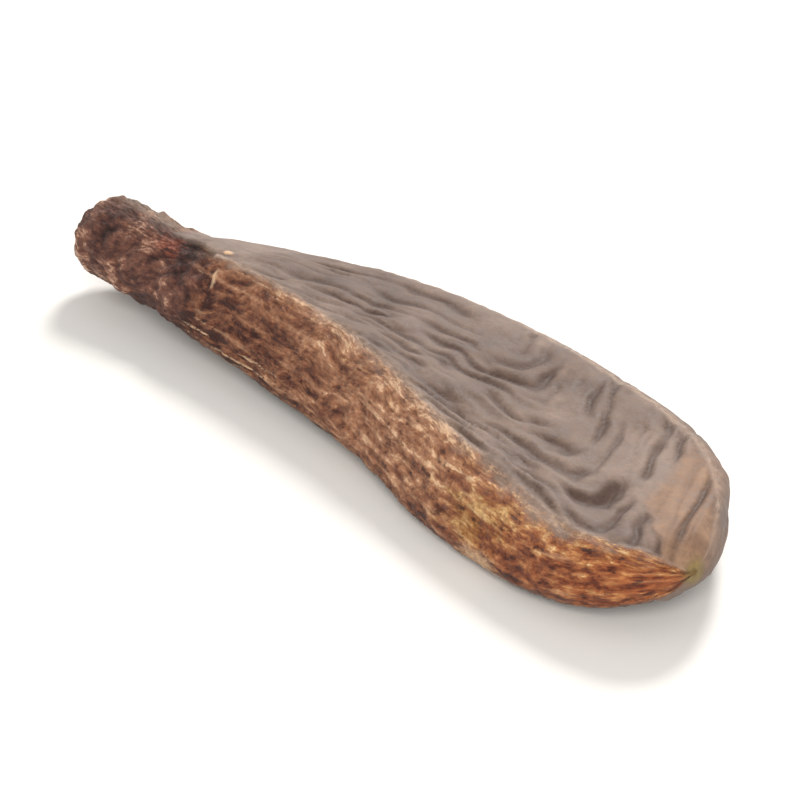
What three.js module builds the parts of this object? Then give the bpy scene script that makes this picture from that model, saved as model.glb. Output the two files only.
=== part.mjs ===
// A ripe, dried carob pod lying on its flat side, grown as one piece.
// Millimetres, +Z up. The neck, where the stalk broke off, points to -X and the blunt tip to +X.
// The wide seam band faces -Y. The origin is under the middle of the pod, on the surface it lies on.
import * as THREE from "three";
import { mergeVertices } from "three/addons/utils/BufferGeometryUtils.js";

// Driving dimensions
const length = 102; // end of the neck to the tip
const fullThickness = 12.4; // at the seam bands, which are the thickest part
const sinkDepth = 0.8; // how far each flat side lies below the rims beside the seams
const seamGroove = 0.45; // depth of the line where the two halves of the shell meet
const seamShare = 0.22; // half width of that line, as a share of half the thickness
const restingFlat = 0.35; // how much of the rims underneath is flattened where the pod lies
const seedPitch = 9.6; // the seeds inside show as a faint row of swellings
const seedReach = 4.5; // how far each swelling reaches either side of the middle line
const seedSwelling = 0.25;
const foldPitch = 6.2; // the folds curving round the blunt end of each flat side
const foldDepth = 0.22;
const foldCentre = { at: 0.58, y: -4 };
const foldStart = { from: 9, to: 20 }; // distance from that centre over which the folds come up
const neckCrease = { at: 0.165, reach: 0.022, depth: 0.07 }; // where the stalk's base meets the shell
const ringCount = 92;
const pointsPerRing = 56;
const evenSpacing = 0.3; // share of the rings' spacing that is even, the rest crowds to the ends

// The pod's form at places along it, from the end of the neck (0) to the tip (1).
// far and near are the places in Y of the two seam bands' outer edges, thickness is a share of
// the full one, twist is degrees about the length, lift is the clearance underneath,
// lean is how far the upper rim of the near band stands back from its lower one, and square is
// the section's exponent, from 2 for an ellipse up to a box with round corners.
const stations = [
  { at: 0.0, far: 0.8, near: -9.0, thickness: 0.7, twist: -20, lift: 2.4, lean: 0.4, square: 2.0 },
  { at: 0.06, far: 1.4, near: -9.5, thickness: 0.78, twist: -20, lift: 1.8, lean: 1.4, square: 2.2 },
  { at: 0.13, far: 2.7, near: -9.9, thickness: 0.76, twist: -18, lift: 1.5, lean: 3.8, square: 2.4 },
  { at: 0.24, far: 7.3, near: -10.1, thickness: 0.9, twist: -13, lift: 0.7, lean: 5.2, square: 3.0 },
  { at: 0.38, far: 11.9, near: -10.4, thickness: 1.0, twist: -7, lift: 0.1, lean: 5.4, square: 3.4 },
  { at: 0.54, far: 14.4, near: -11.7, thickness: 1.0, twist: -3, lift: 0.0, lean: 4.4, square: 3.6 },
  { at: 0.7, far: 14.4, near: -15.2, thickness: 0.97, twist: 0, lift: 0.0, lean: 5.0, square: 3.6 },
  { at: 0.84, far: 12.6, near: -16.4, thickness: 0.88, twist: 0, lift: 0.5, lean: 3.8, square: 3.2 },
  { at: 1.0, far: 4.6, near: -16.2, thickness: 0.66, twist: 0, lift: 2.8, lean: 0.4, square: 2.0 },
];
const farLean = 0.5; // the far band leans the same way, by this share
const neckRounding = 0.045; // share of the length over which the neck's end closes
const tipRounding = 0.17; // the same for the tip, seen from above
const tipEdgeRounding = 0.06; // the same for the tip, seen from the side
const tipBluntness = 2.4; // above 2 the tip is blunter than a circle

const formKeys = ["far", "near", "thickness", "twist", "lift", "lean", "square"];
const formCurve = new THREE.CubicInterpolant(
  stations.map((station) => station.at),
  stations.flatMap((station) => formKeys.map((key) => station[key])),
  formKeys.length,
);

// The form at any share of the length, smoothly between the stations.
function formAt(share) {
  const values = formCurve.evaluate(share);
  const form = Object.fromEntries(formKeys.map((key, i) => [key, values[i]]));
  form.share = share;
  form.centre = (form.far + form.near) / 2;
  form.halfWidth = (form.far - form.near) / 2;
  form.halfThickness = (form.thickness * fullThickness) / 2;
  form.twist = THREE.MathUtils.degToRad(form.twist);
  // how fully the section shows two flat sides with rims, from 0 at the neck and the very tip
  const leavingNeck = THREE.MathUtils.smoothstep(share, 0.12, 0.36);
  const nearingTip = THREE.MathUtils.smoothstep(share, 0.9, 1);
  form.flatness = leavingNeck * (1 - nearingTip);
  return form;
}

// 1 along the pod, falling to 0 at an end as a round nose does.
function roundedEnd(distance, reach, power) {
  const into = THREE.MathUtils.clamp(1 - distance / reach, 0, 1);
  return Math.sqrt(1 - into ** power);
}

// Height of the faint relief of a flat side, from the seeds and the folds round the blunt end.
function sideRelief(form, y) {
  const x = form.share * length;
  const row = Math.exp(-((y / seedReach) ** 2));
  const seeds = seedSwelling * row * Math.cos((2 * Math.PI * x) / seedPitch);
  const fromCentre = Math.hypot(x - foldCentre.at * length, form.centre + y - foldCentre.y);
  const nearTip = THREE.MathUtils.smoothstep(form.share, 0.55, 0.72);
  const folding = nearTip * THREE.MathUtils.smoothstep(fromCentre, foldStart.from, foldStart.to);
  const folds = foldDepth * folding * Math.cos((2 * Math.PI * fromCentre) / foldPitch);
  return seeds * (1 - nearTip) + folds;
}

// A point of the untwisted section, about its middle. The angle starts at the near seam
// and turns over the upper side.
function sectionPoint(form, angle) {
  const { halfWidth, halfThickness, square, flatness, lean } = form;
  const spread = Math.atan2(
    Math.sqrt(halfThickness / halfWidth) * Math.sin(angle),
    Math.cos(angle),
  );
  const radius =
    (Math.abs(Math.cos(spread) / halfWidth) ** square +
      Math.abs(Math.sin(spread) / halfThickness) ** square) **
    (-1 / square);
  let y = -radius * Math.cos(spread);
  let z = radius * Math.sin(spread);

  const across = Math.abs(y) / halfWidth;
  const up = z / halfThickness;
  const flatSide = (1 - THREE.MathUtils.smoothstep(across, 0.42, 0.85)) * flatness;
  z -= Math.sign(z) * (sinkDepth - sideRelief(form, y)) * flatSide * up * up;
  const seam = Math.exp(-((up / seamShare) ** 2)) * across ** 6;
  y -= Math.sign(y) * seamGroove * flatness * seam;
  if (y < 0) y += lean * across ** 2 * ((1 + up) / 2) ** 1.5;
  else y -= farLean * lean * across ** 2 * ((1 - up) / 2) ** 1.5;
  return new THREE.Vector2(y, z);
}

function twisted(point, twist) {
  return point.rotateAround(new THREE.Vector2(0, 0), twist);
}

// How high the middle line runs, so that the uncut section clears the surface by its lift.
function middleHeight(form) {
  const samples = 4 * pointsPerRing;
  let lowest = 0;
  for (let i = 0; i < samples; i++) {
    const angle = (i / samples) * 2 * Math.PI;
    lowest = Math.min(lowest, twisted(sectionPoint(form, angle), form.twist).y);
  }
  return form.lift - lowest;
}

// Turns the unit sphere's grid into the pod: rows become rings along it.
function podGeometry() {
  const geometry = new THREE.SphereGeometry(1, pointsPerRing, ringCount);
  const grid = geometry.getAttribute("uv");
  const position = geometry.getAttribute("position");
  for (let i = 0; i < position.count; i++) {
    const along = 1 - grid.getY(i);
    const crowded = 0.5 - 0.5 * Math.cos(Math.PI * along);
    const share = THREE.MathUtils.lerp(crowded, along, evenSpacing);
    const form = formAt(share);
    const height = middleHeight(form);
    const neckEnd = roundedEnd(share, neckRounding, 2);
    const fromCrease = (share - neckCrease.at) / neckCrease.reach;
    const narrowed = neckEnd * (1 - neckCrease.depth * Math.exp(-(fromCrease ** 2)));
    const point = sectionPoint(form, grid.getX(i) * 2 * Math.PI);
    point.x *= narrowed * roundedEnd(1 - share, tipRounding, tipBluntness);
    point.y *= narrowed * roundedEnd(1 - share, tipEdgeRounding, 2);
    twisted(point, form.twist);
    const z = Math.max(point.y + height - restingFlat, 0);
    position.setXYZ(i, share * length, form.centre + point.x, z);
  }
  geometry.deleteAttribute("normal");
  geometry.deleteAttribute("uv");
  const merged = mergeVertices(geometry, 1e-3);
  merged.computeBoundingBox();
  const box = merged.boundingBox;
  const middle = box.getCenter(new THREE.Vector3());
  merged.translate(-middle.x, -middle.y, -box.min.z);
  merged.computeVertexNormals();
  return merged;
}

const podSkin = new THREE.MeshStandardMaterial({ color: 0x7a5c4c, roughness: 0.75, metalness: 0 });

const pod = new THREE.Mesh(podGeometry(), podSkin);
pod.name = "pod";

const carobPod = new THREE.Group();
carobPod.add(pod);

export default carobPod;
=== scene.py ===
import bpy
import bmesh
import math
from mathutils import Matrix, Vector, noise


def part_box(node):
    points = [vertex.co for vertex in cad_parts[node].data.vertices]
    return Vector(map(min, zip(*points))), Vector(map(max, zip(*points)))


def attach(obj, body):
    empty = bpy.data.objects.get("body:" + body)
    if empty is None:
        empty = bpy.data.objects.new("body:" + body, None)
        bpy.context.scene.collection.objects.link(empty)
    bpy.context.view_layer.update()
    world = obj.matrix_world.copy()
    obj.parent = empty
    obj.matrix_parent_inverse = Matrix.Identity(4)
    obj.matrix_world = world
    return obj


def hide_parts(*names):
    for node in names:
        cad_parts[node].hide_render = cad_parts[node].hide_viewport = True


# A ripe, dried carob pod lying on its flat side. The shape is worked out in millimetres,
# from the end of the neck, and becomes metres when it is moved into its place.

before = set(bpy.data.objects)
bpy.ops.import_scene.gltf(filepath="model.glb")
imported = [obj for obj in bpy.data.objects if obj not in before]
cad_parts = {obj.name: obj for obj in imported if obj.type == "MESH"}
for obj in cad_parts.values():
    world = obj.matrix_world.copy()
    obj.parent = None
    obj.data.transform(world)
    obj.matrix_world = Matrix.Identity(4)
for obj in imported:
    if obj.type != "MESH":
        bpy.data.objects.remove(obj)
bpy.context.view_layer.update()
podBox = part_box("pod")
print("frame loaded, pod is", [round(1000 * side, 1) for side in podBox[1] - podBox[0]], "mm")


def ease(value, low, high):
    # 0 up to low, 1 from high on, and smooth between
    t = min(max((value - low) / (high - low), 0.0), 1.0)
    return t * t * (3.0 - 2.0 * t)


def bell(value, reach):
    return math.exp(-((value / reach) ** 2))


def noiseAt(x, y, z):
    return noise.noise(Vector((x, y, z)))


def seenFrom(x, y, centreX, centreY, degrees):
    # a place measured along and across a direction, from another place
    a, dx, dy = math.radians(degrees), x - centreX, y - centreY
    return dx * math.cos(a) + dy * math.sin(a), dy * math.cos(a) - dx * math.sin(a)


def roundedEnd(distance, reach, power):
    # 1 along the pod, falling to 0 at an end as a round nose does
    into = min(max(1.0 - distance / reach, 0.0), 1.0)
    return math.sqrt(1.0 - into ** power)


podForm = {
    "length": 102.0,  # end of the neck to the tip
    "thickness": 12.4,  # at the seam bands
    "sink": 0.8,  # how far each flat side lies below its rims
    "groove": 0.3,  # depth of the line where the halves of the shell meet
    "grooveShare": 0.2,
    "farLean": 0.5,
    "restingFlat": 0.35,  # how much of the rims underneath is worn flat
    "neckRounding": 0.045,
    "tipRounding": 0.17,
    "tipEdgeRounding": 0.06,
    "tipBluntness": 2.4,
    "creaseAt": 0.165,  # where the stalk's base meets the shell
    "creaseReach": 0.022,
    "creaseDepth": 0.07,
    "seedPitch": 9.6,  # the seeds inside show as a faint row of swellings
    "seedReach": 4.5,
    "seedSwelling": 0.2,
    "rings": 400,
    "around": 238,
    "samples": 180,  # along a ring's outline, to space its points evenly
    "evenSpacing": 0.35,
}

# share of the length, far edge, near edge, thickness, twist, lift underneath, lean, squareness
podStations = [
    (0.00, 0.8, -9.0, 0.70, -20, 2.4, 0.4, 2.0),
    (0.06, 1.4, -9.5, 0.78, -20, 1.8, 1.4, 2.2),
    (0.13, 2.7, -9.9, 0.76, -18, 1.5, 3.8, 2.4),
    (0.24, 7.3, -10.1, 0.90, -13, 0.7, 5.2, 3.0),
    (0.38, 11.9, -10.4, 1.00, -7, 0.1, 5.4, 3.4),
    (0.54, 14.4, -11.7, 1.00, -3, 0.0, 4.4, 3.6),
    (0.70, 14.4, -15.2, 0.97, 0, 0.0, 5.0, 3.6),
    (0.84, 12.6, -16.4, 0.88, 0, 0.5, 3.8, 3.2),
    (1.00, 4.6, -16.2, 0.66, 0, 2.8, 0.4, 2.0),
]


def formAt(share):
    # a smooth curve through the stations
    k = 1
    while k < len(podStations) - 1 and share >= podStations[k][0]:
        k += 1
    left, right = podStations[k - 1], podStations[k]
    before = podStations[k - 2] if k > 1 else right
    after = podStations[k + 1] if k + 1 < len(podStations) else left
    half = 0.5 * (right[0] - left[0])
    wb = half / (left[0] - before[0])
    wa = half / (after[0] - right[0])
    p = (share - left[0]) / (right[0] - left[0])
    pp, ppp = p * p, p * p * p
    sb = -wb * ppp + 2 * wb * pp - wb * p
    sl = (1 + wb) * ppp + (-1.5 - 2 * wb) * pp + (-0.5 + wb) * p + 1
    sr = (-1 - wa) * ppp + (1.5 + wa) * pp + 0.5 * p
    sa = wa * ppp - wa * pp
    row = [sb * b + sl * l + sr * r + sa * a for b, l, r, a in zip(before, left, right, after)]
    form = dict(zip(("share", "far", "near", "thickness", "twist", "lift", "lean", "square"), row))
    form["share"] = share
    form["centre"] = (form["far"] + form["near"]) / 2
    form["halfWidth"] = (form["far"] - form["near"]) / 2
    form["halfThickness"] = form["thickness"] * podForm["thickness"] / 2
    form["flatness"] = ease(share, 0.12, 0.36) * (1 - ease(share, 0.9, 1.0))
    return form


def sectionPoint(form, angle):
    # a point of the section about its middle, from the near seam over the upper side
    wide, thick, square = form["halfWidth"], form["halfThickness"], form["square"]
    spread = math.atan2(math.sqrt(thick / wide) * math.sin(angle), math.cos(angle))
    edge = abs(math.cos(spread) / wide) ** square + abs(math.sin(spread) / thick) ** square
    radius = edge ** (-1 / square)
    y, z = -radius * math.cos(spread), radius * math.sin(spread)
    across, up = abs(y) / wide, z / thick
    flatSide = (1 - ease(across, 0.42, 0.85)) * form["flatness"]
    z -= math.copysign(podForm["sink"] * flatSide * up * up, z)
    seam = bell(up, podForm["grooveShare"]) * across ** 6
    y -= math.copysign(podForm["groove"] * form["flatness"] * seam, y)
    if y < 0:
        y += form["lean"] * across ** 2 * ((1 + up) / 2) ** 1.5
    else:
        y -= podForm["farLean"] * form["lean"] * across ** 2 * ((1 - up) / 2) ** 1.5
    return y, z, across, up


def turned(y, z, degrees):
    a = math.radians(degrees)
    return y * math.cos(a) - z * math.sin(a), y * math.sin(a) + z * math.cos(a)


def ringLayout(form, around):
    # angles that share the outline out evenly, and how high the ring's middle runs
    samples = podForm["samples"]
    points = [sectionPoint(form, 2 * math.pi * i / samples)[:2] for i in range(samples + 1)]
    lowest = min(turned(y, z, form["twist"])[1] for y, z in points)
    travelled = [0.0]
    for a, b in zip(points, points[1:]):
        travelled.append(travelled[-1] + math.dist(a, b))
    angles, k = [], 0
    for j in range(around):
        goal = travelled[-1] * j / around
        while travelled[k + 1] < goal:
            k += 1
        part = (goal - travelled[k]) / (travelled[k + 1] - travelled[k])
        angles.append(2 * math.pi * (k + part) / samples)
    return angles, form["lift"] - lowest


# the relief of the skin is worked out in millimetres out from the plain form

foldLook = {
    "slant": 57.0,  # degrees that the folds beside the end facet slant across the pod
    "slantFrom": 51.0,  # where these slanting folds take over from the lengthwise ones
    "crowding": (0.35, 0.03),  # how the lengthwise folds crowd together towards the near rim
    "pitch": 2.3,  # between neighbouring folds
    "run": 8.0,  # along a fold before it fades
    "halfWidth": 0.5,
    "depth": 0.5,
    "finePitch": 1.15,
    "fineRun": 4.5,
    "fineHalfWidth": 0.3,
    "fineDepth": 0.2,
    "swell": 0.3,  # soft waves between the folds
    "wander": 1.0,
    "neckShare": 0.55,  # how deep they are at the neck, against the blunt end
}

# hollows of the upper flat side: place, long and short reach, turn, depth
podHollows = [
    (88.1, -4.6, 2.3, 1.3, 115, 0.85),
    (87.0, -7.4, 3.4, 0.7, 15, 0.35),
    (73.4, -1.2, 1.5, 0.7, -5, 0.5),
    (58.5, -1.1, 1.8, 0.6, -10, 0.4),
    (60.8, 2.6, 2.2, 0.6, -8, 0.35),
    (45.1, 0.4, 2.2, 0.6, 4, 0.4),
    (77.1, -7.6, 3.6, 0.5, -6, 0.4),
    (52.0, -4.4, 2.6, 0.4, -8, 0.35),
    (66.0, -5.6, 3.0, 0.4, -6, 0.35),
]


def foldPlace(x, y, far):
    # rises towards the near rim and towards the end facet, so its level lines run along the pod
    # and turn round parallel to both, as the folds do; the second value is how steeply it rises
    a = math.radians(foldLook["slant"])
    slanting = max(math.sin(a) * x + math.cos(a) * y - foldLook["slantFrom"], 0.0)
    gap = max(far - y, 0.0)
    start, crowding = foldLook["crowding"]
    lengthwise = start * gap + crowding * gap ** 2
    total = slanting ** 5 + lengthwise ** 5 + 1e-9
    slantShare = slanting ** 5 / total
    return total ** 0.2, slantShare + (1 - slantShare) * (start + 2 * crowding * gap)


def creaseAt(x, y, z):
    # 1 in the bottom of a crease, 0 on the skin between
    return max(0.0, 1.0 - 3.4 * abs(noiseAt(x, y, z))) ** 1.3


def foldsAt(level, steep, pitch, halfWidth, x, y, run, seed):
    # a row of folds a pitch apart, each fading in and out along its own length
    row = math.floor(level / pitch + 0.5)
    aside = (level - row * pitch) / steep
    shown = ease(noiseAt(7.3 * row + seed, x / run, y / run), -0.3, 0.25)
    ends = 1 - ease(abs(level / pitch - row), 0.36, 0.5)
    return shown * bell(aside, halfWidth) * ends


def flatSideRelief(x, y, far, seed):
    level, steep = foldPlace(x, y, far)
    wander = noiseAt(x / 7.0, y / 6.0, seed + 3.1) + 0.5 * noiseAt(x / 2.9, y / 2.4, seed + 8.4)
    level += foldLook["wander"] * wander * steep
    tipward = ease(x, 48.0, 70.0)
    coarse = foldsAt(level, steep, foldLook["pitch"], foldLook["halfWidth"], x, y,
                     foldLook["run"], seed)
    level += 0.6 * noiseAt(x / 2.0, y / 1.6, seed + 6.4)
    fine = foldsAt(level, steep, foldLook["finePitch"], foldLook["fineHalfWidth"], x, y,
                   foldLook["fineRun"], seed + 31.0)
    fine *= ease(noiseAt(x / 8.0, y / 6.0, seed + 5.7), -0.3, 0.3)
    swell = noiseAt(0.45 * level, x / 9.0, y / 9.0 + seed)
    swell += 0.4 * noiseAt(x / 3.2, y / 2.6, seed + 1.3)
    depth = foldLook["depth"] * (foldLook["neckShare"] + (1 - foldLook["neckShare"]) * tipward)
    height = foldLook["swell"] * swell - depth * coarse - foldLook["fineDepth"] * fine
    return height, coarse + 0.6 * fine


def hollowRelief(x, y):
    deep = 0.0
    for hx, hy, long, short, turn, depth in podHollows:
        u, v = seenFrom(x, y, hx, hy, turn)
        v += 0.5 * noiseAt(x / 2.0, y / 2.0, hx)
        deep += depth * bell(u, long) * bell(v, short)
    return deep


bandLook = {
    "fibrePitch": 0.85,
    "fibreRun": 5.0,
    "fibreDepth": 0.22,
    "grain": 0.15,
    "waves": 0.2,
    "edgeLines": 0.17,  # the raised fibres beside the lower rim near the neck
    "edgeLinePitch": 0.95,
    "rimLines": 0.1,  # thin ones along the upper rim
    "rimLinePitch": 0.8,
    "patchAt": 80.0,  # the bare tan patch at the lower rim, and the golden one above it
    "patchReach": 4.2,
    "goldAt": 78.0,
    "goldReach": 6.0,
}


def bandRelief(x, w, seed):
    # w is measured across the band
    wander = 0.7 * noiseAt(x / 6.0, w / 3.0, seed + 2.0)
    fibre = creaseAt(w / bandLook["fibrePitch"] + wander, x / bandLook["fibreRun"], seed)
    grain = noiseAt(x / 1.3, w / 0.8, seed + 4.0) + 0.6 * noiseAt(x / 0.7, w / 0.55, seed + 6.0)
    waves = noiseAt(x / 6.5, w / 3.2, seed + 9.0)
    height = bandLook["grain"] * grain + bandLook["waves"] * waves
    return height - bandLook["fibreDepth"] * fibre, fibre


neckLook = {
    "lumps": 0.32,
    "furrows": 0.28,
    "foldDepth": 0.5,
    "torn": 0.36,  # broken skin and fibres beside the fold
    "stalkRadius": 2.5,  # of the scar where the stalk broke off
    "stalkDepth": 0.55,
    "stalkEdge": 0.22,  # how high the scar's torn edge stands up
    "stalkGrain": 0.3,
    "fleckHeight": 0.2,
    "skinEnds": 0.15,  # share of the length to which its dark skin reaches, on the far side
    "nearReach": (0.075, 0.055),  # how much further it reaches nearer the near rim, in two steps
    "rustAt": (17.0, -4.8),  # the rusty patch beside the fold
    "rustReach": (5.5, 2.2),
}

# torn flecks of skin beside the neck: place, reach, turn
podFlecks = [(25.4, -6.0, 1.1, 112), (24.2, -3.0, 0.8, 30)]


def neckRelief(x, y, w, seed):
    # y and w are measured from the neck's middle line
    spot = Vector((x / 2.2, y / 1.9, w / 1.9))
    lumps = noise.noise(spot) + 0.6 * noise.noise(2.3 * spot) + 0.4 * noise.noise(4.6 * spot)
    furrow = creaseAt(y / 2.6 + 7.0, x / 6.0, w / 2.6 + seed)
    height = neckLook["lumps"] * lumps - neckLook["furrows"] * furrow
    # the scar where the stalk broke off, with its torn edge standing up round it
    radius = neckLook["stalkRadius"]
    out = math.hypot(y, w) + 0.5 * noiseAt(y / 1.2, w / 1.2, 3.0)
    inside = (1 - ease(x, 0.3, 1.6)) * (1 - ease(out, 0.6 * radius, radius))
    edge = bell(out - radius, 0.4) * (1 - ease(x, 0.6, 2.0))
    height += neckLook["stalkEdge"] * edge - neckLook["stalkDepth"] * inside
    height += neckLook["stalkGrain"] * inside * noiseAt(y / 0.7, w / 0.7, 5.0)
    return height, furrow, inside


facetLook = {
    "edge": (0.89, 0.46, 80.1),  # the line along which it starts, across the upper side
    "ridge": (0.84, 0.54, 80.4),  # the crease that divides it
    "ridgeHalfWidth": 0.38,
    "ridgeDepth": 0.32,
    "pastRidge": 0.25,  # how far the skin swells up just past the ridge
    "edgeHeight": 0.13,
    "creaseDepth": 0.1,
    "slope": 0.06,  # how fast it falls away towards the tip
}

bloomLook = {
    "overNearRim": 1.5,  # how far the grey bloom reaches over the near rim, by the tip
    "overFarRim": 2.6,
    "roundTip": 4.0,  # how much further over the far rim, round the tip
    "nearFade": 2.5,
    "farFade": 1.7,
}

rimLook = {
    "swell": 0.16,
    "fineSwell": 0.1,
    "scarAt": (102.0, -5.8),  # where the flower's style was
    "dimple": 0.3,
}


def pastLine(line, x, y):
    # how far a place lies beyond a line across the upper side
    return line[0] * x + line[1] * y - line[2]


def sideFinish(place, cover):
    # height of the creases of a flat side, and the shade painted into them
    x, y, up, gap = place["x"], place["y"], place["up"], place["gap"]
    facet, beyond, ragged = cover["facet"], cover["beyond"], cover["ragged"]
    pastRidge, settled = pastLine(facetLook["ridge"], x, y), cover["settled"]
    folds, dark = flatSideRelief(x, y, place["far"], 10.0 if up >= 0 else 60.0)
    calm = ease(gap, 0.0, 2.4) * (1 - 0.85 * facet)
    seeds = podForm["seedSwelling"] * bell(y - place["centre"], podForm["seedReach"])
    seeds *= math.cos(2 * math.pi * x / podForm["seedPitch"]) * (1 - ease(place["share"], 0.55, 0.72))
    reach = (0.25 + 0.75 * calm) * (1 - 0.75 * facet * ease(gap, -2.0, 0.0))
    reach *= (0.5 + 0.5 * ease(place["share"], 0.2, 0.34)) * settled
    height, creaseShade = folds * reach + seeds * calm, dark * reach
    if up >= 0:
        hollow = hollowRelief(x, y)
        awayFromRim = ease(gap, 0.1, 1.8)
        ridge = bell(pastRidge + 0.2 * ragged, facetLook["ridgeHalfWidth"])
        ridge *= facet * settled * awayFromRim
        height -= hollow + facetLook["ridgeDepth"] * ridge
        height += facetLook["pastRidge"] * facet * settled * bell(pastRidge - 1.0, 0.8)
        height += facetLook["edgeHeight"] * settled * bell(beyond - 0.4, 0.55) * awayFromRim
        # painted shade in the hollows and along the ridge
        creaseShade += min(1.0, 1.6 * hollow) + 0.95 * ridge
        if place["near"]:
            # painted shade: a dark line and a soft shade just inside the near rim
            creaseShade += 0.9 * bell(gap - 1.3 + 0.5 * ragged, 0.4) * bell(x - 84.0, 7.0)
            creaseShade += 0.32 * bell(gap - 1.3, 2.5) * ease(x, 55.0, 72.0) * (1 - facet)
    # soft creases across the facet, with a little shade painted into them
    seed = 34.0 if up >= 0 else 32.0
    soft = creaseAt(pastRidge / 1.7, (0.54 * x - 0.84 * y) / 13.0, seed) * settled
    height -= facet * (facetLook["creaseDepth"] * soft + facetLook["slope"] * max(0.0, beyond - 2.0))
    return height, creaseShade + 0.22 * facet * soft


def bandFinish(place, cover):
    # height, the shade painted into the fibres' creases, and the pale fibres of a seam band
    x, up, gap, w = place["x"], place["up"], place["gap"], place["w"]
    band, ragged, settled = cover["band"], cover["ragged"], cover["settled"]
    fibres, dark = bandRelief(x, w, 80.0 if place["near"] else 120.0)
    height, pale = band * fibres * settled, 0.0
    if place["near"]:
        # raised fibres beside the lower rim, from the neck to the middle
        reach = ease(place["share"], 0.16, 0.2) * (1 - ease(place["share"], 0.36, 0.5))
        reach *= bell(up + 0.5, 0.3) * ease(noiseAt(x / 9.0, w / 0.8, 44.0), -0.4, 0.0)
        lines = math.cos(2 * math.pi * (w + 0.08 * ragged) / bandLook["edgeLinePitch"])
        height += band * bandLook["edgeLines"] * reach * lines
        pale += band * reach * max(0.0, lines) ** 1.5
        # and thin broken ones along the upper rim
        broken = ease(noiseAt(x / 5.0, gap / 0.9, 47.0), -0.05, 0.2) * ease(x, 24.0, 30.0)
        reach = max(broken, ease(x, 72.0, 82.0)) * settled * bell(gap + 0.8, 1.2)
        lines = math.cos(2 * math.pi * (gap + 0.5 * ragged) / bandLook["rimLinePitch"])
        height += bandLook["rimLines"] * reach * lines
        pale += (0.85 - 0.3 * ease(x, 60.0, 75.0)) * reach * max(0.0, lines)
        # a bare tan patch at the lower rim
        patch = bell(x - bandLook["patchAt"] + 3.0 * ragged, bandLook["patchReach"])
        pale += 0.9 * band * patch * bell(up + 0.6, 0.35)
    return height, 0.55 * band * dark, pale


def neckFinish(place, cover):
    # height, the shade painted into the furrows, the pale stalk scar and the rusty patch of the neck
    x, y, w, neck = place["x"], place["y"], place["w"], cover["neck"]
    lumps, dark, stalk = neckRelief(x, y - place["centre"], w, 7.0)
    upper = ease(math.sin(place["turn"]), -0.3, 0.6)
    # torn skin where the stalk's base runs into the shell
    torn = noiseAt(x / 1.3, y / 0.9, w / 0.9) + 0.35 * noiseAt(x / 0.7, y / 0.6, w / 0.6 + 9.0)
    torn *= bell(cover["pastNeck"] + 0.05, 0.045) * upper
    (rustX, rustY), (long, wide) = neckLook["rustAt"], neckLook["rustReach"]
    rust = neck * upper * bell(x - rustX, long) * bell(y - rustY, wide)
    return neck * lumps + neckLook["torn"] * torn, 0.8 * neck * dark, 0.55 * stalk, rust


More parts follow.
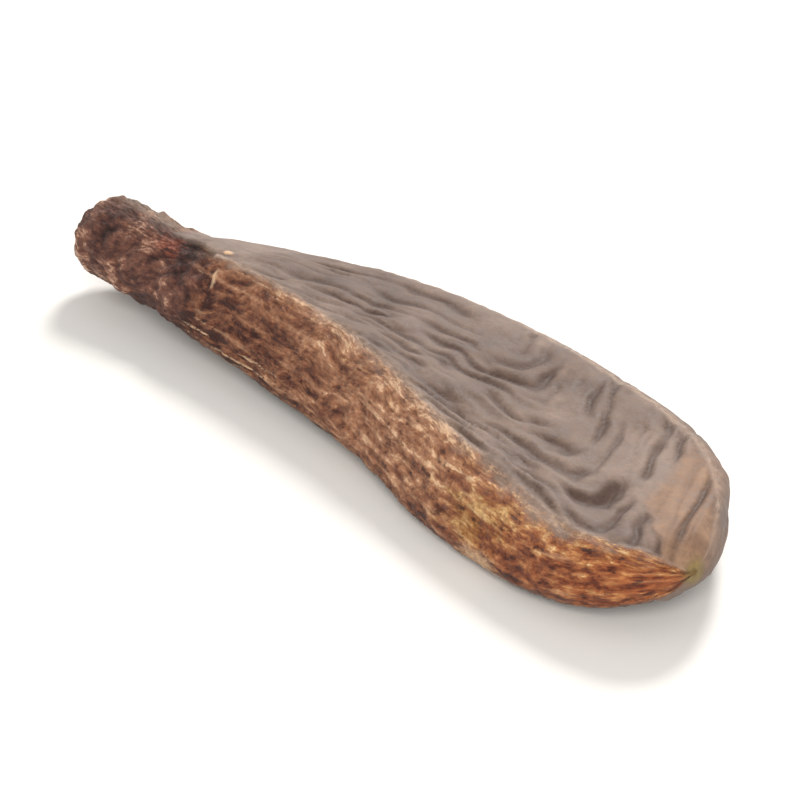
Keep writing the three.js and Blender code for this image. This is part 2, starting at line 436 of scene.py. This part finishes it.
def podRelief(place):
    # the whole relief at one place of the skin, with the masks the finish needs
    x, y, up, gap, near = (place[key] for key in ("x", "y", "up", "gap", "near"))
    above = 1.0 if up >= 0 else -1.0
    ragged = 0.5 * noiseAt(x / 4.0, y / 3.0, 12.0) + 0.3 * noiseAt(x / 1.4, y / 1.2, 14.0)
    # the slanting end facet, beyond a line across the tip
    beyond = pastLine(facetLook["edge"], x, y) + 1.8 * ragged - 4.5 * ease(-y, 3.0, 9.0)
    facet = ease(beyond, -1.3, 1.9) * ease(up, -1.2, -0.2)
    # the grey bloom reaches over both rims, and all round the tip
    if near:
        over, fade = bloomLook["overNearRim"] * bell(x - 85.0, 9.0), bloomLook["nearFade"]
    else:
        over = bloomLook["overFarRim"] + bloomLook["roundTip"] * ease(beyond, -6.0, 3.0)
        fade = bloomLook["farFade"]
    flat = ease(gap + over + 1.6 * ragged, -fade, fade)
    # the neck's dark skin reaches further on the near side than on the far one
    nearSide = ease(-y, 4.3, 8.5)
    first, second = neckLook["nearReach"]
    neckEnds = neckLook["skinEnds"] + first * ease(-y, 2.9, 4.3) + second * nearSide + 0.03 * ragged
    neck = 1 - ease(place["share"], neckEnds - 0.03 - 0.07 * nearSide, neckEnds)
    flat *= 1 - neck
    scarX, scarY = rimLook["scarAt"]
    toScar = math.hypot(scarX - x, y - scarY, place["w"])
    settled = ease(toScar, 1.0, 5.0)  # everything grows together at the tip
    cover = {
        "facet": facet, "beyond": beyond, "ragged": ragged, "settled": settled, "neck": neck,
        "band": (1 - flat) * (1 - neck), "pastNeck": place["share"] - neckEnds,
    }

    height, creaseShade, pale, rust = 0.0, 0.0, 0.0, 0.0
    if flat > 0:
        more, dark = sideFinish(place, cover)
        height += flat * more
        creaseShade += flat * dark
    if cover["band"] > 0:
        more, dark, pale = bandFinish(place, cover)
        height += more
        creaseShade += dark
    if neck > 0:
        more, dark, stalk, rust = neckFinish(place, cover)
        height += more
        creaseShade += dark
        pale += stalk
    if above > 0:
        # a deep crack beside the neck with shade painted into it, and the torn flecks
        crack = bell(cover["pastNeck"] + 0.012, 0.011) * bell(y + 4.2, 2.4)
        height -= neckLook["foldDepth"] * crack
        creaseShade += crack
        for fx, fy, long, turnBy in podFlecks:
            u, v = seenFrom(x, y, fx, fy, turnBy)
            fleck = bell(u, long) * bell(v, 0.38)
            height += neckLook["fleckHeight"] * fleck
            pale += fleck
    # uneven rims, and the dimple that the flower's style left at the tip
    rim = bell(gap, 1.1) * (1 - neck) * settled
    height += rimLook["swell"] * rim * noiseAt(x / 2.1, y / 4.0, 15.0 + above)
    height += rimLook["fineSwell"] * rim * noiseAt(x / 0.9, y / 1.6, 18.0 + above)
    height -= rimLook["dimple"] * bell(toScar, 1.6)

    # a pale line along the rims: along the far rim a painted highlight, along the near rim pale
    # flaking skin
    rimWidth, towardsTip = (1.8, ease(x, 62.0, 78.0)) if near else (0.8, 0.0)
    paleRimAndHighlight = bell(gap + 0.7 * ragged - 0.2, rimWidth) * (1 - neck) * ease(up, -0.2, 0.2)
    # painted highlight along the neck's upper edge
    neckHighlight = neck * bell(place["turn"] - 1.75, 0.45) * ease(ragged, -0.45, 0.0)
    golden = cover["band"] * bell(x - bandLook["goldAt"], bandLook["goldReach"]) * bell(up - 0.1, 0.6)
    return height, {
        "band": 1 - flat,
        "neck": neck,
        "creaseShade": min(1.0, creaseShade),
        "facet": facet * (0.5 + 0.5 * ease(gap, 0.2, 3.2)),
        "pale": min(1.0, pale),
        "scar": bell(toScar + 0.7 * ragged, 1.9),
        "rim": max(paleRimAndHighlight * (1 - 0.6 * towardsTip), neckHighlight),
        "rust": rust,
        "gold": golden if near else 0.0,
    }


skinMasks = ("band", "neck", "creaseShade", "facet", "pale", "scar", "rim", "rust", "gold")


def makePod():
    rings, around = podForm["rings"], podForm["around"]
    length = podForm["length"]
    bm = bmesh.new()
    bmesh.ops.create_uvsphere(bm, u_segments=around, v_segments=rings, radius=1.0)
    masks = {name: bm.verts.layers.float.new(name) for name in skinMasks}
    flow = bm.verts.layers.float_vector.new("flow")
    layouts = []
    for i in range(rings + 1):
        along = i / rings
        crowded = 0.5 - 0.5 * math.cos(math.pi * along)
        share = crowded + (along - crowded) * podForm["evenSpacing"]
        form = formAt(share)
        angles, middle = ringLayout(form, around)
        waist = bell(share - podForm["creaseAt"], podForm["creaseReach"])
        nearNeck = roundedEnd(share, podForm["neckRounding"], 2) * (1 - podForm["creaseDepth"] * waist)
        wideTip = nearNeck * roundedEnd(1 - share, podForm["tipRounding"], podForm["tipBluntness"])
        thickTip = nearNeck * roundedEnd(1 - share, podForm["tipEdgeRounding"], 2)
        layouts.append((form, angles, middle, wideTip, thickTip))

    places = {}
    for v in bm.verts:
        i = round(rings * math.acos(min(max(-v.co.z, -1.0), 1.0)) / math.pi)
        j = round(around * math.atan2(-v.co.y, v.co.x) / (2 * math.pi)) % around
        form, angles, middle, wideTip, thickTip = layouts[i]
        y, z, across, up = sectionPoint(form, angles[j])
        q = abs(up) - across
        gap = q * (form["halfWidth"] if q > 0 else form["halfThickness"])
        flowY = math.copysign(across, y) * 12.0
        y, z = turned(y * wideTip, z * thickTip, form["twist"])
        x = form["share"] * length
        places[v] = {
            "x": x, "y": form["centre"] + y, "w": z,  # w is the height over the middle line
            "up": up, "gap": gap,  # the share of the thickness, and the distance in from a rim
            "centre": form["centre"], "far": form["far"], "share": form["share"],
            "turn": angles[j], "near": flowY < 0,
            "flow": (0.1 * x, 0.1 * flowY, 0.1 * z),  # centimetres
        }
        v.co = (x, form["centre"] + y, max(z + middle - podForm["restingFlat"], 0.0))
    bmesh.ops.recalc_face_normals(bm, faces=bm.faces)
    bm.normal_update()
    plainNormals = {v: v.normal.copy() for v in bm.verts}

    for v, place in places.items():
        height, values = podRelief(place)
        v.co += plainNormals[v] * height
        v.co.z = max(v.co.z, 0.0)
        for name, value in values.items():
            v[masks[name]] = value
        v[flow] = place["flow"]

    # into the frame: metres, with the box's middle where the CAD has it
    low = Vector(min(v.co[k] for v in bm.verts) for k in range(3))
    high = Vector(max(v.co[k] for v in bm.verts) for k in range(3))
    bmesh.ops.translate(bm, verts=bm.verts, vec=(-(low.x + high.x) / 2, -(low.y + high.y) / 2, 0))
    bmesh.ops.scale(bm, verts=bm.verts, vec=(0.001, 0.001, 0.001))
    cadMiddle = (podBox[0] + podBox[1]) / 2
    bmesh.ops.translate(bm, verts=bm.verts, vec=(cadMiddle.x, cadMiddle.y, podBox[0].z))
    for face in bm.faces:
        face.smooth = True
    mesh = bpy.data.meshes.new("carobPod")
    bm.to_mesh(mesh)
    bm.free()
    pod = bpy.data.objects.new("carobPod", mesh)
    bpy.context.collection.objects.link(pod)
    return pod


pod = makePod()
print("pod made,", len(pod.data.vertices), "vertices")


# each list runs from the darkest tone of a skin to its lightest
skinLook = {
    "side": [(0.0, (0.33, 0.26, 0.223)), (0.5, (0.42, 0.346, 0.306)), (1.0, (0.51, 0.436, 0.394))],
    "paintedCreaseShade": (0.20, 0.12, 0.09),
    "rimPaleAndHighlight": (0.65, 0.56, 0.49),
    "band": [(0.0, (0.22, 0.10, 0.07)), (0.25, (0.40, 0.235, 0.165)), (0.55, (0.55, 0.37, 0.265)),
             (0.85, (0.68, 0.50, 0.38)), (1.0, (0.84, 0.69, 0.56))],
    "tip": [(0.0, (0.26, 0.10, 0.05)), (0.25, (0.43, 0.205, 0.11)), (0.55, (0.585, 0.335, 0.185)),
            (0.85, (0.73, 0.51, 0.31)), (1.0, (0.89, 0.73, 0.52))],
    "neck": [(0.0, (0.15, 0.075, 0.065)), (0.35, (0.31, 0.185, 0.155)), (0.65, (0.465, 0.31, 0.25)),
             (0.83, (0.70, 0.54, 0.45)), (1.0, (0.86, 0.73, 0.64))],
    "rust": [(0.0, (0.26, 0.11, 0.08)), (0.5, (0.56, 0.31, 0.24)), (1.0, (0.82, 0.62, 0.53))],
    "facet": [(0.0, (0.415, 0.315, 0.25)), (0.5, (0.50, 0.385, 0.305)), (1.0, (0.585, 0.47, 0.38))],
    "gold": [(0.0, (0.30, 0.155, 0.075)), (0.5, (0.555, 0.365, 0.19)), (1.0, (0.81, 0.65, 0.43))],
    "streak": (0.76, 0.61, 0.48),
    "neckHighlightColour": (0.60, 0.52, 0.46),
    "pit": (0.20, 0.10, 0.07),
    "pale": (0.80, 0.66, 0.53),
    "scar": (0.46, 0.40, 0.21),
    "roughness": (0.5, 0.8),
    # textures: scale, detail and roughness; these four are per centimetre, along and across
    "fibres": ((3.2, 10.0, 10.0), 5.0, 0.62),
    "fineFibres": ((11.0, 27.0, 27.0), 6.0, 0.7),
    "streaks": ((1.5, 14.0, 14.0), 3.0, 0.5),
    "specks": ((6.0, 12.0, 12.0), 3.0, 0.6),
    # and these are per metre
    "mottle": (210.0, 6.0, 0.6),
    "cloud": (48.0, 3.0, 0.5),
    "grain": (1400.0, 5.0, 0.65),
    "bend": (1.8, 0.22),  # how the fibres wander: per centimetre, and centimetres aside
    "specular": 0.22,
    "sheen": 0.05,
    "bumps": (0.0009, 0.0004, 0.00016),  # metres, of the fibres, the fine fibres and the grain
}


def linear(colour):
    # from the picker's sRGB numbers to what the shader wants
    return [c / 12.92 if c <= 0.04045 else ((c + 0.055) / 1.055) ** 2.4 for c in colour] + [1.0]


class Nodes:
    # short ways to add and join the nodes of one material
    def __init__(self, material):
        material.use_nodes = True
        self.tree = material.node_tree
        self.tree.nodes.clear()

    def add(self, kind, inputs=None, **settings):
        node = self.tree.nodes.new("ShaderNode" + kind)
        for name, value in settings.items():
            setattr(node, name, value)
        for name, value in (inputs or {}).items():
            self.put(node.inputs[name], value)
        return node

    def put(self, socket, value):
        if isinstance(value, bpy.types.NodeSocket):
            self.tree.links.new(value, socket)
        else:
            socket.default_value = value

    def attribute(self, name, output="Fac"):
        return self.add("Attribute", attribute_name=name).outputs[output]

    def maths(self, operation, a, b):
        return self.add("Math", {0: a, 1: b}, operation=operation).outputs[0]

    def blend(self, a, shareA, b, shareB):
        # a weighted sum of two values
        return self.maths("ADD", self.maths("MULTIPLY", a, shareA), self.maths("MULTIPLY", b, shareB))

    def range(self, value, low, high, to=(0.0, 1.0), curve="SMOOTHSTEP"):
        inputs = {"Value": value, "From Min": low, "From Max": high, "To Min": to[0], "To Max": to[1]}
        return self.add("MapRange", inputs, interpolation_type=curve).outputs["Result"]

    def tone(self, value, contrast=0.12):
        # a noise, or several added up to 1, spread over the whole of a ramp
        return self.range(value, 0.5 - contrast, 0.5 + contrast, curve="LINEAR")

    def blendPlaces(self, a, b, share):
        return self.add("Mix", {0: share, 4: a, 5: b}, data_type="VECTOR").outputs[1]

    def mix(self, factor, a, b, blend="MIX"):
        node = self.add("Mix", data_type="RGBA", blend_type=blend)
        self.put(node.inputs[0], factor)
        self.put(node.inputs[6], a)
        self.put(node.inputs[7], b)
        return node.outputs[2]

    def noise(self, place, scale, detail, rough):
        # the scale is one number, or three where the texture is drawn out along the pod
        if isinstance(scale, tuple):
            place, scale = self.add("Mapping", {"Vector": place, "Scale": scale}).outputs[0], 1.0
        inputs = {"Vector": place, "Scale": scale, "Detail": detail, "Roughness": rough}
        return self.add("TexNoise", inputs).outputs["Fac"]

    def bump(self, strength, distance, height, under=None):
        node = self.add("Bump", {"Strength": strength, "Distance": distance, "Height": height})
        if under:
            self.put(node.inputs["Normal"], under)
        return node.outputs[0]

    def ramp(self, value, stops):
        node = self.add("ValToRGB", {"Fac": value})
        points = node.color_ramp.elements
        while len(points) < len(stops):
            points.new(0.5)
        for point, (position, colour) in zip(points, stops):
            point.position = position
            point.color = linear(colour)
        return node.outputs["Color"]


def podSkin():
    material = bpy.data.materials.new("podSkin")
    n = Nodes(material)
    solid = n.add("TexCoord").outputs["Object"]
    flow = n.attribute("flow", "Vector")
    band, neck, facet = n.attribute("band"), n.attribute("neck"), n.attribute("facet")
    creaseShade, pale, scar = n.attribute("creaseShade"), n.attribute("pale"), n.attribute("scar")
    rim, rust, gold = n.attribute("rim"), n.attribute("rust"), n.attribute("gold")

    # textures, in centimetres along the flow and in metres on the object
    bendScale, bendReach = skinLook["bend"]
    bend = n.add("TexNoise", {"Vector": flow, "Scale": bendScale, "Detail": 0.4}).outputs["Color"]
    bend = n.add("VectorMath", {0: bend, 1: (0.5, 0.5, 0.5)}, operation="SUBTRACT").outputs[0]
    bend = n.add("VectorMath", {0: bend, "Scale": bendReach}, operation="SCALE").outputs[0]
    bent = n.add("VectorMath", {0: flow, 1: bend}, operation="ADD").outputs[0]
    fibres = n.noise(bent, *skinLook["fibres"])
    fineFibres = n.noise(bent, *skinLook["fineFibres"])
    streaks = n.noise(n.blendPlaces(flow, bent, 0.3), *skinLook["streaks"])
    specks = n.noise(bent, *skinLook["specks"])
    mottle = n.noise(solid, *skinLook["mottle"])
    cloud = n.noise(solid, *skinLook["cloud"])
    grain = n.noise(solid, *skinLook["grain"])

    # flat sides
    along, _, height = n.add("SeparateXYZ", {0: flow}).outputs
    sideTone = n.tone(n.blend(mottle, 0.55, cloud, 0.45))
    sideTone = n.maths("ADD", sideTone, n.range(along, 2.0, 3.7, (0.45, 0.0)))
    side = n.ramp(sideTone, skinLook["side"])
    # painted shade: darker in the creases and hollows
    side = n.mix(n.range(creaseShade, 0.1, 1.1, (0.0, 0.64)), side, linear(skinLook["paintedCreaseShade"]))
    # painted highlight along the far rim; along the near rim, pale flaking skin
    paleRimAndHighlight = n.maths("MULTIPLY", rim, n.range(fineFibres, 0.4, 0.6, (0.3, 0.85)))
    side = n.mix(paleRimAndHighlight, side, linear(skinLook["rimPaleAndHighlight"]))

    # seam bands, from reddish brown to orange and tan towards the tip
    tipward = n.range(n.blend(along, 1.0, cloud, 4.0), 8.6, 12.2)
    tone = n.blend(n.blend(fibres, 0.38, fineFibres, 0.30), 1.0, specks, 0.32)
    tone = n.blend(tone, 1.0, n.maths("SUBTRACT", cloud, 0.5), 0.2)
    tone = n.blend(tone, 1.0, n.maths("SUBTRACT", streaks, 0.5), 0.28)
    # painted shade: a little darker in the creases
    tone = n.tone(n.blend(tone, 1.0, creaseShade, -0.05), 0.13)
    tone = n.maths("ADD", tone, n.range(along, 1.5, 5.5, (-0.2, 0.0)))
    # painted light: lighter towards the band's top and darker towards its lower edge
    tone = n.maths("ADD", tone, n.range(height, -0.5, 0.6, (-0.13, 0.16)))
    # lighter along the rims: a painted highlight on the far side, pale flaking on the near side
    tone = n.maths("ADD", tone, n.range(rim, 0.1, 1.0, (0.0, 0.2)))
    bandColour = n.mix(tipward, n.ramp(tone, skinLook["band"]), n.ramp(tone, skinLook["tip"]))
    golden = n.range(n.blend(n.blend(gold, 0.6, fibres, 1.3), 1.0, mottle, 1.3), 1.5, 2.1)
    bandColour = n.mix(golden, bandColour, n.ramp(tone, skinLook["gold"]))
    pits = n.range(specks, 0.42, 0.30, (0.0, 0.8))
    pits = n.maths("MULTIPLY", pits, n.range(along, 4.0, 8.0, (0.4, 1.0)))
    bandColour = n.mix(pits, bandColour, linear(skinLook["pit"]))
    streaky = n.range(streaks, 0.58, 0.72, (0.0, 0.35))
    bandColour = n.mix(streaky, bandColour, linear(skinLook["streak"]))

    # neck
    neckTone = n.blend(n.blend(mottle, 0.45, fineFibres, 0.3), 1.0, specks, 0.25)
    neckTone = n.blend(neckTone, 1.0, n.maths("SUBTRACT", cloud, 0.5), 0.25)
    # painted shade: a little darker in the furrows
    neckTone = n.tone(n.blend(neckTone, 1.0, creaseShade, -0.05), 0.125)
    neckColour = n.ramp(neckTone, skinLook["neck"])
    rusty = n.range(n.blend(n.blend(rust, 0.6, mottle, 1.5), 1.0, fineFibres, 1.0), 1.6, 1.95)
    neckColour = n.mix(rusty, neckColour, n.ramp(neckTone, skinLook["rust"]))
    # painted highlight along the neck's upper edge
    neckHighlight = n.maths("MULTIPLY", rim, n.range(fineFibres, 0.38, 0.58, (0.45, 0.95)))
    neckColour = n.mix(neckHighlight, neckColour, linear(skinLook["neckHighlightColour"]))

    # painted shade: the facet is darker in its creases
    facetTone = n.tone(n.blend(n.blend(mottle, 0.7, cloud, 0.3), 1.0, creaseShade, -0.06), 0.16)
    facetColour = n.ramp(facetTone, skinLook["facet"])
    facetColour = n.mix(n.maths("MULTIPLY", creaseShade, 0.7), facetColour, linear(skinLook["paintedCreaseShade"]))

    bandEdge = n.range(n.blend(n.blend(band, 1.0, fineFibres, 0.9), 1.0, fibres, 1.3), 1.2, 2.0)
    bandEdge = n.maths("MULTIPLY", bandEdge, n.range(band, 0.02, 0.2))
    colour = n.mix(bandEdge, side, bandColour)
    facetEdge = n.range(n.blend(facet, 1.0, mottle, 0.7), 0.45, 1.4)
    facetEdge = n.maths("MULTIPLY", facetEdge, n.maths("SUBTRACT", 1.0, bandEdge))
    colour = n.mix(facetEdge, colour, facetColour)
    neckEdge = n.range(n.blend(n.blend(neck, 1.0, mottle, 1.0), 1.0, fineFibres, 0.6), 0.95, 1.65)
    colour = n.mix(neckEdge, colour, neckColour)
    paleEdge = n.range(n.blend(pale, 1.0, fineFibres, 0.9), 0.75, 1.4)
    colour = n.mix(paleEdge, colour, linear(skinLook["pale"]))
    colour = n.mix(n.range(scar, 0.25, 0.8, (0.0, 0.7)), colour, linear(skinLook["scar"]))
    shade = n.range(grain, 0.3, 0.7, (0.84, 1.12))
    shade = n.add("CombineColor", {0: shade, 1: shade, 2: shade}).outputs[0]
    colour = n.mix(1.0, colour, shade, "MULTIPLY")

    rough = n.range(n.blend(mottle, 0.5, grain, 0.5), 0.3, 0.7, skinLook["roughness"])

    coarse = n.maths("MULTIPLY", n.maths("MAXIMUM", bandEdge, neck), 0.9)
    fine = n.range(bandEdge, 0.0, 1.0, (0.2, 0.85))
    fineHeight = n.blend(fineFibres, 0.7, specks, 0.3)
    fibreDepth, fineDepth, grainDepth = skinLook["bumps"]
    bump = n.bump(coarse, fibreDepth, fibres)
    bump = n.bump(fine, fineDepth, fineHeight, bump)
    bump = n.bump(0.5, grainDepth, grain, bump)

    shader = n.add("BsdfPrincipled", {
        "Base Color": colour, "Roughness": rough, "Normal": bump,
        "Specular IOR Level": skinLook["specular"],
        "Sheen Weight": skinLook["sheen"], "Sheen Roughness": 0.5,
    })
    n.add("OutputMaterial", {"Surface": shader.outputs[0]})
    return material


pod.data.materials.append(podSkin())
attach(pod, "root")
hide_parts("pod")
print("skin made")


studio = {
    "floorSize": 3.0,
    "floorColour": (0.87, 0.865, 0.855),
    "worldColour": (1.0, 0.985, 0.965),
    "worldStrength": 0.6,
    "azimuth": 50.0,
    "elevation": 28.0,
    "distance": 0.42,
    "aimHeight": 0.0032,
    "lens": 176.0,
    "keyPlace": (-0.32, 0.5, 0.5),
    "keySize": 0.24,
    "keyPower": 6.5,
    "keyColour": (1.0, 0.98, 0.95),
    "fillPlace": (0.45, -0.35, 0.35),
    "fillSize": 0.4,
    "fillPower": 4.0,
    "fillColour": (1.0, 0.97, 0.93),
}


def makeFloor():
    bm = bmesh.new()
    bmesh.ops.create_grid(bm, x_segments=1, y_segments=1, size=studio["floorSize"] / 2)
    mesh = bpy.data.meshes.new("floor")
    bm.to_mesh(mesh)
    bm.free()
    floor = bpy.data.objects.new("floor", mesh)
    bpy.context.collection.objects.link(floor)
    material = bpy.data.materials.new("paleFloor")
    n = Nodes(material)
    shader = n.add("BsdfPrincipled", {"Base Color": linear(studio["floorColour"]), "Roughness": 0.7})
    n.add("OutputMaterial", {"Surface": shader.outputs[0]})
    mesh.materials.append(material)
    return floor


def areaLight(name, place, target, size, power, colour):
    light = bpy.data.lights.new(name, "AREA")
    light.shape = "DISK"
    light.size, light.energy, light.color = size, power, colour
    lamp = bpy.data.objects.new(name, light)
    lamp.location = place
    lamp.rotation_euler = (Vector(target) - Vector(place)).to_track_quat("-Z", "Y").to_euler()
    bpy.context.collection.objects.link(lamp)
    return lamp


makeFloor()
world = bpy.data.worlds.new("studio")
world.use_nodes = True
background = world.node_tree.nodes["Background"]
background.inputs["Color"].default_value = (*studio["worldColour"], 1.0)
background.inputs["Strength"].default_value = studio["worldStrength"]
bpy.context.scene.world = world
bpy.context.scene.view_settings.view_transform = "Standard"

centre = (podBox[0] + podBox[1]) / 2
for name in ("key", "fill"):
    place, size, power, colour = (studio[name + part] for part in ("Place", "Size", "Power", "Colour"))
    areaLight(name + "Light", place, centre, size, power, colour)

azimuth, elevation = math.radians(studio["azimuth"]), math.radians(studio["elevation"])
level = math.cos(elevation)
back = Vector((math.sin(azimuth) * level, -math.cos(azimuth) * level, math.sin(elevation)))
cameraData = bpy.data.cameras.new("camera")
cameraData.lens = studio["lens"]
cameraData.clip_start = 0.01
camera = bpy.data.objects.new("camera", cameraData)
camera.location = Vector((centre.x, centre.y, studio["aimHeight"])) + back * studio["distance"]
camera.rotation_euler = (-back).to_track_quat("-Z", "Y").to_euler()
bpy.context.collection.objects.link(camera)
bpy.context.scene.camera = camera

print("scene finished")
